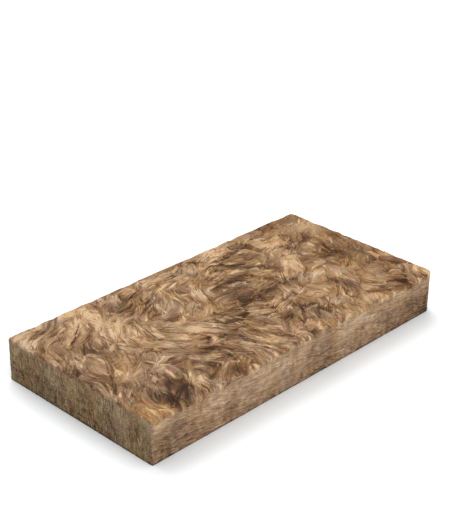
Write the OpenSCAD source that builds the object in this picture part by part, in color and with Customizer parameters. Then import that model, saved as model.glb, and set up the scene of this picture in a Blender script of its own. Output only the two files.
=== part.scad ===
// Mineral wool insulation board: one slab of bonded wool, sawn square,
// with a flat underside and a tufted upper face.
// Origin: centre of the underside. X runs along the board, Y across it, Z up.

/* [Board] */
// Length of the board
board_length = 1200; // [900:50:1500]
// Width of the board
board_width = 600; // [400:25:900]
// Thickness, measured to the highest tufts
board_thickness = 140; // [60:5:200]

/* [Cut edges] */
// Radius of the soft upright corners at the near end
near_corner_radius = 5; // [4:1:30]
// Radius of the crushed upright corners at the far end
far_corner_radius = 24; // [4:1:40]
// How far in from the saw cuts the upper face starts to roll over
arris_width = 12; // [8:1:30]
// How far the upper face has dropped at the saw cuts
arris_drop = 5; // [2:1:20]

/* [Tufted face] */
// Width of one fold of wool, from crease to crease
fold_width = 68; // [50:1:160]
// Distance along a fold from one pinch to the next
fold_length = 270; // [180:10:600]
// Depth of the creases between the folds
fold_depth = 5.5; // [0:0.5:8]
// Depth of the deepest hollow in the face, where all the rest is nil
hollow_depth = 7; // [0:0.5:12]
// Size of the facets that make up the face
facet_size = 15; // [14:1:40]

/* [Hidden] */

wool_brown = "#9b7a5c";

// Rows of facets that shape the rolled-over arris, on each side.
arris_rows = 3;
// How much larger the blanket of wool is than the board that is sawn from it.
saw_allowance = 12;

// Turns in the lay of the wool. Each is [place along the length, place across
// the width, reach, angle]: places are shares of the half length and half
// width, the reach is in millimetres, and the angle is the most that the folds
// are turned there.
swirls = [
    [-0.85,  0.70, 170,  70], [-0.60, -0.10, 210,  -75], [-0.72, -0.80, 150, 60],
    [-0.25,  0.45, 180,  80], [-0.15, -0.70, 190,  -65], [ 0.20,  0.05, 220, 120],
    [ 0.30, -0.85, 140,  70], [ 0.38,  0.85, 150,  -70], [ 0.62, -0.35, 190, -90],
    [ 0.75,  0.20, 160, 110], [ 0.92, -0.80, 140,  75], [ 0.95,  0.85, 130, -60]
];

// Hollows in the face, as [place along, place across, reach, share of
// hollow_depth]: places and reach as for the swirls.
hollows = [
    [-0.80,  0.28,  60, 0.7], [-0.72, -0.72,  85, 1.0], [-0.40,  0.70,  70, 0.7],
    [-0.38, -0.40,  60, 0.6], [-0.02, -0.62,  70, 0.5], [ 0.16,  0.30, 110, 0.9],
    [ 0.30,  0.68,  75, 0.7], [ 0.28, -0.20,  60, 0.5], [ 0.55, -0.75,  70, 0.4],
    [ 0.82,  0.12,  65, 0.7], [ 0.84, -0.88,  70, 0.8], [ 0.66,  0.80,  60, 0.5]
];

half_length = board_length / 2;
half_width = board_width / 2;

// Place of a row of a list above, in millimetres.
function centre(row) = [row[0] * half_length, row[1] * half_width];

// How strongly a feature with this reach acts at this distance, from 1 to 0.
function fade(distance, reach) = exp(-pow(distance / reach, 2));

// A point turned about one swirl, most at its centre and not at all far away.
function turned(p, row) =
    let (c = centre(row), d = p - c, a = row[3] * fade(norm(d), row[2]))
    c + [d.x * cos(a) - d.y * sin(a), d.x * sin(a) + d.y * cos(a)];

// A point carried through all the swirls, in turn.
function combed(p, i = 0) =
    i == len(swirls) ? p : combed(turned(p, swirls[i]), i + 1);

// Height lost in the creases: folds have full crests and narrow creases.
function crease(q) =
    let (across = 180 * q.y / fold_width + 55 * sin(360 * q.x / fold_length),
         pinch = 0.7 + 0.3 * cos(360 * q.x / fold_length))
    fold_depth * pinch * (1 - sqrt(abs(sin(across))));

// Height lost in the hollows.
function hollow(p) =
    let (depths = [for (row = hollows) row[3] * fade(norm(p - centre(row)), row[2])])
    hollow_depth * min(1, depths * [for (row = hollows) 1]);

// How far a point lies inside the saw cuts, by the rounded outline.
function inside_by(p) =
    let (r = p.x < 0 ? near_corner_radius : far_corner_radius,
         q = [half_length - r - abs(p.x), half_width - r - abs(p.y)])
    r + min(q.x, q.y, q.x < 0 && q.y < 0 ? -norm(q) : q.x);

// Height lost where the face rolls over towards the saw cuts.
function arris(p) =
    let (t = min(1, max(0, 1 - inside_by(p) / arris_width)))
    arris_drop * (1 - sqrt(1 - t * t));

// Height of the upper face.
function face_height(p) =
    board_thickness - crease(combed(p)) - hollow(p) - arris(p);

// Stations along one direction: close together in the arris at both ends,
// evenly spaced between, and one more beyond each saw cut.
function stations(half) =
    let (inner = half - arris_width, steps = ceil(2 * inner / facet_size))
    concat(
        [-half - saw_allowance, -half],
        [for (i = [1 : arris_rows - 1]) -half + arris_width * pow(i / arris_rows, 2)],
        [for (i = [0 : steps]) -inner + 2 * inner * i / steps],
        [for (i = [arris_rows - 1 : -1 : 1]) half - arris_width * pow(i / arris_rows, 2)],
        [half, half + saw_allowance]);

// The blanket of wool as it leaves the oven, wider and longer than the board,
// tufted on top and carried on below the underside.
module blanket() {
    xs = stations(half_length);
    ys = stations(half_width);
    nx = len(xs);
    ny = len(ys);
    top = [for (x = xs, y = ys) [x, y, face_height([x, y])]];
    rim = concat(
        [for (i = [0 : nx - 2]) i * ny],
        [for (j = [0 : ny - 2]) (nx - 1) * ny + j],
        [for (i = [nx - 1 : -1 : 1]) i * ny + ny - 1],
        [for (j = [ny - 1 : -1 : 1]) j]);
    n = len(rim);
    base = [for (k = rim) [top[k].x, top[k].y, -saw_allowance]];
    first = len(top);
    polyhedron(
        points = concat(top, base, [[0, 0, -saw_allowance]]),
        faces = concat(
            [for (i = [0 : nx - 2], j = [0 : ny - 2])
                for (f = [[0, 1, ny + 1], [0, ny + 1, ny]]) [for (c = f) i * ny + j + c]],
            [for (k = [0 : n - 1]) let (m = (k + 1) % n)
                for (f = [[rim[k], rim[m], first + m], [rim[k], first + m, first + k]]) f],
            [for (k = [0 : n - 1]) [first + k, first + (k + 1) % n, first + n]]));
}

// Outline of the saw cuts, with the upright corners rounded.
module saw_outline() {
    translate([near_corner_radius - half_length, -half_width])
        square([board_length - near_corner_radius - far_corner_radius, board_width]);
    for (end = [-1, 1]) {
        r = end < 0 ? near_corner_radius : far_corner_radius;
        translate([end * (half_length - r), 0])
            square([2 * r, board_width - 2 * r], center = true);
        for (side = [-1, 1])
            translate([end * (half_length - r), side * (half_width - r)]) circle(r, $fn = 48);
    }
}

module insulation_board() {
    color(wool_brown)
        intersection() {
            linear_extrude(height = board_thickness + saw_allowance) saw_outline();
            blanket();
        }
}

insulation_board();
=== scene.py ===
"""Mineral wool insulation board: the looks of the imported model.

The board is one slab of bonded wool. A closed skin stands for its saw cuts and its underside. A
fleece of felted flakes covers the upper face and is folded down a little over the saw cuts. Locks
and strands of wool are combed over the fleece, drawn out along the sawn sides, and upright on the
sawn ends.
"""
import functools
import math

import bmesh
import bpy
import numpy as np
from mathutils import Matrix, Vector
from mathutils.bvhtree import BVHTree


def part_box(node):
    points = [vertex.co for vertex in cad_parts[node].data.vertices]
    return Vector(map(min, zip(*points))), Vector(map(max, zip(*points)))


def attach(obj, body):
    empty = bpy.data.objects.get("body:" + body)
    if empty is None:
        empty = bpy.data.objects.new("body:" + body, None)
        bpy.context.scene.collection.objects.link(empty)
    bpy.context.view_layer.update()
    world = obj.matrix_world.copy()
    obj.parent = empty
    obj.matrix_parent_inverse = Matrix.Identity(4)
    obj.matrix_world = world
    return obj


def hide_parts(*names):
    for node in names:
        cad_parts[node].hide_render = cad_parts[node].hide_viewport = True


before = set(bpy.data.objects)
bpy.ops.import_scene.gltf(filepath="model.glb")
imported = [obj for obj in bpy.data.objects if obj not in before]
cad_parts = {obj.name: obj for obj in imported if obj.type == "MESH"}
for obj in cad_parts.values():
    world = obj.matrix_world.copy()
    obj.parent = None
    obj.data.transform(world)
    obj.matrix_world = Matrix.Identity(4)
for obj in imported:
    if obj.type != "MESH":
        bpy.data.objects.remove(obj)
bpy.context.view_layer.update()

bl_info = {
    "name": "Mineral wool insulation board",
    "version": (1, 0, 0),
    "blender": (4, 5, 0),
    "location": "View3D > Sidebar > Wool board",
    "description": "Adds a mineral wool insulation board with combed locks of wool, and a studio",
    "category": "Add Mesh",
}

BOARD = "insulation_board"
MM = 0.001

LOW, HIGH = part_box(BOARD)
HALF_LENGTH = (HIGH.x - LOW.x) / 2
HALF_WIDTH = (HIGH.y - LOW.y) / 2
HALF = np.array([HALF_LENGTH, HALF_WIDTH])
THICKNESS = HIGH.z - LOW.z
# Radius of the upright corners at the two ends of the board.
NEAR_RADIUS = 5 * MM
FAR_RADIUS = 24 * MM
# Saw cuts whose outward normal points sideways by more than this belong to the long sides.
SIDEWAYS = 0.7
# How steeply the fibres of the long sides lean, as a share of their run.
SIDE_LEAN = 0.16
# Kept in divisors, so that they are never nought.
TINY = 1e-9

# Lightness of the wool, from 0 to 1: the locks and the fleece of the upper face, the saw cuts at
# mid height on the sides and on the ends, their top edge, and the underside.
LOCK_TONE = 0.50
FLEECE_TONE = 0.512
SIDE_TONE = 0.57
END_TONE = 0.56
RIM_TONE = 0.68
UNDERSIDE_TONE = 0.46

# The lay of the wool on the upper face: place along and across the board from its centre, in
# millimetres, and the direction of the fibres there, in degrees from the board's length.
COMB = [
    (-560, 270, 15), (-555, 225, 28), (-480, 225, 22), (-490, 170, 26), (-575, 125, 80),
    (-530, 75, 58), (-470, 60, 65), (-560, -25, -85), (-480, -30, 65), (-530, -80, 57),
    (-470, -80, 50), (-430, -130, 30), (-550, -180, 48), (-540, -280, -85), (-450, -190, 72),
    (-490, -240, 64), (-430, -270, 62), (-370, 230, 58), (-370, 160, 50), (-360, 85, 68),
    (-350, 20, -88), (-340, -35, -65), (-400, -75, 50), (-320, -125, -48), (-380, -220, 65),
    (-270, 225, 38), (-270, 170, 17), (-270, 80, 72), (-230, 30, -50), (-230, -30, -42),
    (-270, -75, -40), (-240, -130, -42), (-270, -275, 40), (-180, 180, 55), (-170, 75, 45),
    (-120, 30, 52), (-130, -30, -50), (-170, -85, -52), (-180, -180, -70), (-170, -260, -87),
    (-150, 235, 25), (-90, 125, 60), (-40, 110, 68), (-60, -130, -60), (-70, -220, -70),
    (-20, -250, -85), (-60, 265, 5), (70, 225, 40), (40, 175, 17), (60, 100, 0), (60, 25, 12),
    (30, -25, 10), (20, -80, -50), (70, -125, 20), (60, -220, 38), (50, -275, 12), (130, 275, 15),
    (160, 225, 0), (150, 175, -12), (175, 120, -45), (190, 75, -45), (130, 25, -6), (130, -30, -18),
    (170, -60, 60), (100, -75, 30), (170, -140, 55), (130, -225, 45), (170, -275, 60),
    (225, 75, -50), (240, 180, -5), (280, 75, 63), (270, 0, 45), (230, -125, -35), (260, -225, 35),
    (270, -275, 58), (320, 125, 35), (300, 230, 0), (340, 60, 80), (330, -30, 42), (370, -60, 60),
    (320, -170, 58), (370, -180, -82), (330, -275, 48), (420, 125, 20), (380, 75, 5),
    (425, 25, -45), (425, -30, -12), (425, -150, -84), (430, -225, -55), (480, 180, 27),
    (475, 75, 70), (480, -75, 38), (480, -225, -60), (525, 225, 25), (525, 75, 80), (525, 20, 68),
    (520, -125, 50), (520, -270, 90), (575, 150, 72), (575, -120, 85), (575, -260, 80),
]

# Light and dark patches of the upper face: place along and across, reach, in millimetres, and
# how much lighter (or darker, below 0) the wool is there.
PATCHES = [
    (-360, 240, 42, 1.0), (-350, 155, 42, 1.3), (-345, 80, 48, 0.9), (-240, 20, 38, 0.7),
    (-200, -20, 34, 0.4), (-225, -72, 25, 0.4), (-480, -70, 48, 0.4), (-370, -70, 32, 0.3),
    (-30, 120, 28, 0.9), (-45, 75, 24, 0.5), (10, -75, 28, 0.7), (330, 60, 38, 1.1),
    (305, 10, 38, 0.9), (345, -60, 30, 0.5), (240, -145, 38, 0.9), (195, -60, 25, 0.4),
    (430, -190, 45, 0.3), (370, 210, 40, 0.4), (570, 200, 50, 0.5), (-60, 250, 35, 0.5),
    (-370, -225, 30, 0.4), (-80, -240, 48, 0.3), (30, -255, 26, 0.4), (323, -268, 26, 0.9),
    (-570, -280, 48, 0.6), (-560, 80, 40, 0.3), (190, 275, 40, 0.7), (215, 70, 24, 0.5),
    (150, 145, 24, 0.4), (-580, 270, 48, 0.5), (590, -120, 30, 0.4), (230, -270, 38, 0.3),
    (-250, 205, 38, -1.1), (-225, 135, 34, -0.8), (-478, 75, 40, -1.3), (-510, 235, 42, -0.5),
    (-585, -40, 32, -0.5), (-470, -250, 56, -1.1), (-435, -190, 38, -0.7), (-230, -135, 34, -1.0),
    (-360, -125, 20, -0.5), (-290, -230, 34, -0.4), (-215, -230, 30, -0.4), (-50, -70, 30, -0.8),
    (60, 20, 62, -0.9), (130, 105, 32, -0.9), (60, 100, 35, -0.6), (170, -10, 46, -0.6),
    (180, 200, 50, -0.7), (270, 235, 40, -0.5), (270, 95, 24, -0.5), (75, -170, 28, -0.5),
    (135, -155, 26, -0.4), (480, 30, 38, -1.1), (490, -35, 28, -0.5), (480, 150, 30, -0.5),
    (430, 265, 52, -0.5), (480, -265, 45, -1.1), (340, -150, 42, -0.4), (550, -180, 30, -0.4),
    (100, -240, 38, -0.3), (80, 265, 30, -0.4), (-555, 268, 50, 1.2), (-400, 272, 50, 0.6),
    (-120, 205, 42, 0.65), (-330, 50, 45, 0.25), (-250, 262, 42, 0.35), (-50, 262, 42, 0.25),
    (50, 155, 38, 0.35), (-560, 165, 40, 0.2), (-525, 222, 25, -0.7), (-425, 222, 25, -0.8),
    (-475, 222, 22, -0.4), (25, 275, 30, -0.4), (80, 178, 32, 0.7), (-75, -75, 32, -0.8),
    (-80, -275, 30, 0.6), (230, 0, 50, -0.25), (285, -155, 35, -0.3), (330, -205, 45, -0.4),
    (500, -150, 45, -0.4), (575, 75, 35, -0.9), (475, -260, 38, -0.5), (-575, -170, 50, -0.4),
    (-370, -275, 30, -0.4), (-225, -225, 30, -0.4), (-270, 75, 35, -0.3), (540, 180, 35, 0.4),
    (580, -170, 30, 0.4), (-467, -193, 14, 0.9), (-367, -242, 22, 0.6), (-520, 172, 45, 0.4),
    (-460, 280, 60, 0.4), (-328, 275, 35, 0.4), (-125, 278, 30, 0.5), (-325, 22, 28, 0.4),
    (-25, -180, 30, 0.4), (130, -205, 40, -0.5), (225, 150, 35, -0.4), (475, 62, 30, -0.4),
    (540, -80, 40, -0.5), (520, -175, 35, -0.4), (520, 275, 38, -0.4), (-410, -180, 32, -0.4),
    (-100, 228, 35, 0.6), (425, -178, 28, 0.4), (580, -140, 32, 0.4), (525, 75, 25, 0.4),
    (175, 20, 50, -0.3), (-425, -25, 25, 0.35), (-530, -75, 28, -0.4), (-170, -110, 30, -0.4),
    (440, -275, 30, 0.4), (485, -265, 30, -0.5), (75, 125, 35, -0.3), (325, 25, 25, 0.4),
    (-110, -25, 35, 0.4), (25, -125, 28, -0.4), (-425, -125, 28, -0.4), (-570, 128, 30, -0.4),
    (-320, -232, 30, 0.35), (-375, -275, 28, -0.4), (25, 25, 25, -0.4), (225, 75, 28, 0.4),
    (-235, -40, 28, 0.4), (130, -225, 28, -0.35), (75, -278, 28, 0.45), (575, -120, 28, 0.3),
    (-330, 180, 28, 0.3), (260, -130, 30, -0.4), (-175, 275, 25, -0.4), (-250, 50, 45, -0.25),
    (-555, -50, 50, -0.6), (-550, -150, 50, -0.25), (-450, -150, 55, -0.3), (50, -150, 50, -0.45),
    (160, -150, 50, -0.15), (260, -150, 60, -0.22), (370, -150, 60, -0.15), (250, 75, 60, -0.4),
    (370, 0, 70, -0.22), (400, -250, 60, -0.18), (560, 260, 45, -0.45), (450, 262, 42, -0.3),
    (560, 0, 60, -0.5), (450, 80, 50, -0.15), (-300, -250, 55, -0.12), (555, 150, 40, 0.3),
]

# Calm and unruly stretches of the upper face: place along and across, reach, in millimetres, and
# how much calmer (or more unruly, below 0) the wool is there.
CALM = [
    (-550, 120, 60, 0.15), (-490, 25, 60, 0.3), (-520, -60, 70, 0.4), (60, 50, 50, 0.5),
    (150, -250, 50, 0.3), (250, -150, 60, 0.2), (550, 160, 60, 0.55), (-250, -150, 50, 0.3),
    (-380, -150, 55, 0.2), (-350, -50, 50, -0.3), (-150, -100, 60, -0.25), (-150, -250, 50, -0.3),
    (450, 120, 70, -0.3), (560, -250, 45, -0.8), (-560, -240, 40, 0.35), (-440, -60, 60, 0.2),
    (450, -150, 50, 0.2), (555, 265, 50, 0.45), (560, 10, 80, 0.45), (-250, 60, 50, 0.2),
    (-20, 50, 60, 0.2), (150, 250, 50, -0.25), (-450, 255, 50, -0.5), (-560, 50, 40, -0.5),
    (-450, -150, 40, 0.2), (-70, -150, 45, 0.2), (340, 50, 80, -0.1), (-150, 50, 60, 0.15),
    (450, -170, 45, 0.15), (-400, -250, 50, -0.1), (250, 150, 60, 0.15),
]

# Golden stretches of the upper face: place along and across, reach, in millimetres, and how much
# more saturated the wool is there.
GOLDEN = [
    (-575, -270, 42, 0.20), (-235, -270, 26, 0.15), (-360, 220, 45, 0.06), (-470, -20, 50, 0.06),
    (-320, 10, 40, 0.06), (-390, -100, 45, -0.06), (-470, -210, 45, -0.08),
]

# Light and dark patches of the saw cuts: place along, across and up, reach, in millimetres, and
# how much lighter.
CUT_PATCHES = [
    (-580, -300, 120, 22, 0.9), (-527, -300, 73, 50, -0.7), (-530, -300, 25, 40, -0.3),
    (-440, -300, 100, 35, -0.3), (-370, -300, 85, 60, 0.5), (-200, -300, 70, 60, 0.5),
    (-140, -300, 90, 40, 0.4), (-47, -300, 80, 45, 0.5), (33, -300, 70, 40, -0.5),
    (100, -300, 70, 35, -0.7), (187, -300, 107, 45, 0.7), (240, -300, 113, 45, 0.6),
    (287, -300, 75, 40, 0.4), (387, -300, 45, 45, -0.5), (480, -300, 75, 35, -0.3),
    (500, -300, 15, 60, -1.0), (578, -300, 12, 35, -1.2), (420, -300, 110, 40, 0.4),
    (560, -300, 70, 30, -0.7), (-600, 280, 100, 20, 0.5), (-600, 200, 87, 50, -0.4),
    (-600, 150, 30, 45, -0.5), (-600, 13, 100, 40, 0.4), (-600, -40, 73, 35, -0.6),
    (-600, -87, 87, 30, 0.3), (-600, -180, 67, 40, 0.4), (-600, -245, 90, 22, -0.8),
    (-600, -285, 120, 25, 0.8), (-600, -120, 15, 50, -0.3), (-600, 60, 20, 60, -0.4),
]

# Ropes of strands that stand out on the upper face: width in millimetres, how much lighter (or
# darker, below 0) they are, and their routes, as places along and across in millimetres.
ROPES = [
    (10, -0.30, [(-460, 95), (-475, 30), (-505, -30), (-540, -85), (-585, -130)]),
    (18, -0.30, [(-540, 215), (-490, 228), (-430, 255)]),
    (13, 0.25, [(-580, -182), (-540, -160), (-490, -130)]),
    (26, 0.30, [(-370, 250), (-372, 200), (-355, 150), (-340, 100)]),
    (16, 0.30, [(-300, 30), (-240, -10), (-180, -50), (-130, -110)]),
    (12, 0.40, [(-270, 45), (-235, -7), (-160, -60)]),
    (14, -0.45, [(-260, -100), (-220, -140), (-180, -200), (-170, -240)]),
    (8, 0.30, [(-180, -190), (-150, -210), (-130, -260), (-125, -298)]),
    (14, -0.35, [(-240, 218), (-170, 233), (-100, 255)]),
    (14, 0.30, [(-150, 28), (-158, 52), (-120, 68)]),
    (17, 0.40, [(-10, 160), (-25, 110), (-45, 60), (-70, 25)]),
    (22, 0.35, [(80, 210), (120, 250), (180, 275)]),
    (14, 0.35, [(145, 140), (190, 100), (230, 60)]),
    (12, -0.40, [(50, -30), (100, -60), (160, -30), (170, 10)]),
    (14, 0.40, [(40, -140), (90, -120), (140, -105)]),
    (30, 0.30, [(290, -10), (325, 30), (340, 90)]),
    (10, -0.40, [(380, 90), (440, 120), (500, 125), (530, 100)]),
    (10, 0.30, [(400, -140), (420, -200), (445, -225)]),
    (10, 0.35, [(530, 120), (535, 70), (525, 20), (510, -30)]),
    (6, -0.45, [(-125, 195), (-165, 158), (-200, 117), (-208, 72)]),
    (6, -0.40, [(-105, -135), (-119, -151), (-134, -202)]),
    (6, 0.40, [(-205, -180), (-192, -240), (-183, -285)]),
    (9, -0.45, [(-287, 86), (-307, 24), (-307, -19)]),
    (8, 0.35, [(-316, 8), (-300, -35), (-275, -67)]),
    (8, -0.40, [(-345, -35), (-338, -50), (-309, -84)]),
    (5, 0.45, [(5, -12), (13, -5), (36, -9)]),
    (7, 0.35, [(125, 140), (145, 122), (170, 112), (207, 88)]),
    (8, 0.40, [(-14, -63), (0, -80), (16, -96)]),
    (7, 0.35, [(-510, 155), (-474, 170), (-437, 191)]),
    (6, -0.45, [(-508, 144), (-475, 154), (-421, 183)]),
    (9, 0.30, [(-497, 133), (-460, 145), (-423, 161)]),
    (8, 0.30, [(-475, 200), (-469, 216), (-440, 232), (-416, 249)]),
    (7, 0.40, [(-589, 90), (-543, 87), (-514, 83), (-495, 80)]),
    (7, 0.40, [(-585, 63), (-553, 60), (-540, 42), (-545, 14)]),
    (5, 0.35, [(-466, 70), (-472, 51), (-478, 11), (-495, -20)]),
    (9, -0.40, [(132, 201), (160, 185), (184, 166), (225, 135)]),
    (7, 0.40, [(303, 36), (325, 27), (344, 13)]),
    (7, -0.45, [(345, 10), (337, -2), (308, -24), (275, -41)]),
    (5, 0.45, [(50, -15), (62, -20), (78, -24)]),
    (9, 0.35, [(205, -140), (216, -148), (240, -158), (272, -170)]),
    (6, 0.40, [(390, 79), (416, 72), (426, 44)]),
    (6, -0.40, [(33, 15), (25, -27), (66, -30), (114, -33), (165, -39)]),
    (6, -0.35, [(270, 78), (252, 33), (218, -25), (231, -57)]),
    (7, -0.40, [(90, -147), (120, -141), (123, -171), (93, -210), (45, -246)]),
    (6, -0.35, [(9, 162), (-15, 96), (-51, 27), (-72, -6)]),
    (6, 0.35, [(129, 132), (171, 99), (210, 66), (228, 18)]),
    (9, 0.30, [(168, -72), (198, -74), (189, -105)]),
    (8, -0.35, [(-99, -24), (-90, -69), (-57, -90), (-27, -108)]),
    (16, -0.35, [(465, -238), (480, -268), (501, -290)]),
    (6, -0.35, [(378, -186), (399, -213), (435, -231)]),
    (8, -0.35, [(480, 125), (505, 110), (508, 85), (490, 45), (498, 3)]),
    (6, -0.35, [(330, -138), (309, -177), (285, -216), (312, -252)]),
    (12, 0.30, [(303, -261), (324, -267), (318, -290)]),
    (12, 0.30, [(219, -120), (237, -150), (255, -183)]),
    (6, -0.35, [(165, -225), (205, -215), (198, -243), (186, -285)]),
]


class WOOL_PG_lay(bpy.types.PropertyGroup):
    """How the wool lies on the board."""

    fleece_spacing: bpy.props.FloatProperty(
        name="Fleece spacing", description="Size of the faces of the fleece on the upper face",
        default=2.75 * MM, min=2.7 * MM, unit="LENGTH")
    skin_spacing: bpy.props.FloatProperty(
        name="Skin spacing", description="Size of the faces of the closed skin",
        default=7.0 * MM, min=4.0 * MM, unit="LENGTH")
    relief: bpy.props.FloatProperty(
        name="Relief", description="How deep the folds of the fleece are, 1 being usual",
        default=1.0, min=0.0, max=2.0)
    tangle: bpy.props.FloatProperty(
        name="Tangle", description="How far locks stray from the lay of the wool around them",
        default=0.10, min=0.0, max=1.5, subtype="ANGLE")
    hem: bpy.props.FloatProperty(
        name="Hem", description="How far the fleece is folded down over the saw cuts",
        default=11.0 * MM, min=4.0 * MM, unit="LENGTH")
    spill: bpy.props.FloatProperty(
        name="Spill",
        description="How far locks hang over the long edges, and twice as far as over the ends",
        default=16.0 * MM, unit="LENGTH")
    seed: bpy.props.IntProperty(
        name="Seed", description="Start of the random draws", default=11)


class WOOL_PG_colour(bpy.types.PropertyGroup):
    """Colours of the wool, from its creases to its crests."""

    crease: bpy.props.FloatVectorProperty(
        name="Crease", description="Colour in the darkest creases", subtype="COLOR",
        default=(0.062, 0.029, 0.013), min=0, max=1)
    umber: bpy.props.FloatVectorProperty(
        name="Umber", description="Colour of the darker locks", subtype="COLOR",
        default=(0.168, 0.087, 0.038), min=0, max=1)
    tan: bpy.props.FloatVectorProperty(
        name="Tan", description="Colour of most of the wool", subtype="COLOR",
        default=(0.345, 0.204, 0.101), min=0, max=1)
    gold: bpy.props.FloatVectorProperty(
        name="Gold", description="Colour of the lighter locks", subtype="COLOR",
        default=(0.540, 0.345, 0.184), min=0, max=1)
    crest: bpy.props.FloatVectorProperty(
        name="Crest", description="Colour of the palest tips", subtype="COLOR",
        default=(0.770, 0.550, 0.335), min=0, max=1)


class WOOL_PG_studio(bpy.types.PropertyGroup):
    """The camera and the light."""

    focal_length: bpy.props.FloatProperty(
        name="Focal length", description="Focal length of the lens, in millimetres",
        default=95.6)
    azimuth: bpy.props.FloatProperty(
        name="Azimuth", description="Where the camera stands round the board",
        default=math.radians(-46.18), subtype="ANGLE")
    elevation: bpy.props.FloatProperty(
        name="Elevation", description="How far the camera looks down", default=math.radians(26.88),
        subtype="ANGLE")
    roll: bpy.props.FloatProperty(
        name="Roll", description="Tilt of the picture", default=math.radians(0.87),
        subtype="ANGLE")
    key_strength: bpy.props.FloatProperty(
        name="Key light", description="Strength of the soft light from the right", default=1.60)
    back_strength: bpy.props.FloatProperty(
        name="Back light", description="Strength of the soft light from behind", default=1.10)
    sky_strength: bpy.props.FloatProperty(
        name="Sky", description="Strength of the even light from all round", default=0.64)


# --- small helpers ---------------------------------------------------------------------------


def smooth_noise(points, size, seed, waves=28):
    """A smooth random field, with a spread of about 1 and features of this size."""
    rng = np.random.default_rng(seed)
    heading = rng.uniform(0, 2 * math.pi, waves)
    rate = 2 * math.pi / size * rng.uniform(0.5, 1.5, waves)
    phase = rng.uniform(0, 2 * math.pi, waves)
    wave = np.stack([rate * np.cos(heading), rate * np.sin(heading)])
    return np.sin(points @ wave + phase).sum(-1) * math.sqrt(2 / waves)


def noises(points, parts):
    """Several smooth random fields in one. Each part is its spread, its size and its seed."""
    return sum(spread * smooth_noise(points, size, seed) for spread, size, seed in parts)


def swayed(points, parts):
    """Points moved about both ways by noise: across by the noise of the next seeds."""
    across = [(spread, size, seed + 1) for spread, size, seed in parts]
    return points + np.stack([noises(points, parts), noises(points, across)], -1)


def step_up(values, low, high):
    """A smooth step from 0 below low to 1 above high."""
    share = np.clip((values - low) / (high - low), 0, 1)
    return share * share * (3 - 2 * share)


def turned(vectors, angle):
    """2-D vectors turned by an angle."""
    cos, sin = np.cos(angle), np.sin(angle)
    x, y = vectors[..., 0], vectors[..., 1]
    return np.stack([x * cos - y * sin, x * sin + y * cos], -1)


def patchwork(points, patches):
    """What a list of places, reaches and amounts adds up to at each point, fading from each."""
    total = np.zeros(points.shape[:-1])
    for *place, reach, amount in patches:
        away = ((points - np.array(place) * MM) ** 2).sum(-1)
        total += amount * np.exp(-away / (1.2 * (reach * MM) ** 2))
    return total


def read_grid(grid, place):
    """Values of a grid between its nodes, at places counted in its own steps."""
    x = np.clip(place[..., 0], 0, grid.shape[0] - 1.001)
    y = np.clip(place[..., 1], 0, grid.shape[1] - 1.001)
    i, j = x.astype(int), y.astype(int)
    u, v = x - i, y - j
    return (grid[i, j] * (1 - u) * (1 - v) + grid[i + 1, j] * u * (1 - v)
            + grid[i, j + 1] * (1 - u) * v + grid[i + 1, j + 1] * u * v)


def read_rows(table, place):
    """Rows of table (locks x stations x values) read at fractional stations."""
    low = np.clip(np.floor(place).astype(int), 0, table.shape[1] - 2)
    share = (place - low)[..., None]
    lock = np.arange(len(table))[:, None]
    return table[lock, low] * (1 - share) + table[lock, low + 1] * share


def smooth_route(corners, stops):
    """Evenly spaced points of a smooth curve through a few corners (a Catmull-Rom spline)."""
    ends = [2 * corners[0] - corners[1], *corners, 2 * corners[-1] - corners[-2]]
    curve = []
    for a, b, c, d in zip(ends, ends[1:], ends[2:], ends[3:]):
        for t in np.linspace(0, 1, 12, endpoint=False):
            curve.append(0.5 * (2 * b + (c - a) * t + (2 * a - 5 * b + 4 * c - d) * t * t
                                + (3 * b - a - 3 * c + d) * t ** 3))
    curve = np.array([*curve, corners[-1]])
    along = np.append(0, np.cumsum(np.linalg.norm(np.diff(curve, axis=0), axis=1)))
    even = np.linspace(0, along[-1], stops)
    return np.stack([np.interp(even, along, curve[:, k]) for k in (0, 1)], -1)


# --- the board's surfaces ----------------------------------------------------------------------


def corner_radius(points):
    """Radius of the upright corner nearest to each point."""
    return np.where(points[..., 0] < 0, NEAR_RADIUS, FAR_RADIUS)


def inside_by(points):
    """How far each point lies inside the sawn outline, with its rounded corners."""
    radius = corner_radius(points)
    a = HALF_LENGTH - radius - np.abs(points[..., 0])
    b = HALF_WIDTH - radius - np.abs(points[..., 1])
    round_part = -np.hypot(np.minimum(a, 0), np.minimum(b, 0))
    return radius + np.where((a < 0) & (b < 0), round_part, np.minimum(a, b))


def kept_inside(points):
    """Points beyond the saw cuts, brought back to them."""
    out = np.clip(points, -HALF, HALF)
    radius = corner_radius(out)
    corner = np.sign(out) * (HALF - radius[..., None])
    off = out - corner
    in_corner = (off * np.sign(out) > 0).all(-1)
    reach = np.linalg.norm(off, axis=-1)
    pull = np.where(in_corner & (reach > radius), radius / np.maximum(reach, TINY), 1)
    return corner + off * pull[..., None]


def folded(points):
    """Points of a rectangle, drawn in evenly to the rounded saw cuts, and how far beyond them
    each one was."""
    radius = corner_radius(points)[..., None]
    corner = np.sign(points) * (HALF - radius)
    off = points - corner
    beyond = off * np.sign(points)
    reach = beyond.max(-1, keepdims=True)
    pull = np.minimum(reach, radius) / np.maximum(np.linalg.norm(off, axis=-1, keepdims=True), TINY)
    in_corner = (beyond > 0).all(-1, keepdims=True)
    kept = np.where(in_corner, corner + off * pull, np.clip(points, -HALF, HALF))
    return kept, np.maximum(reach - radius, 0)[..., 0]


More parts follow.
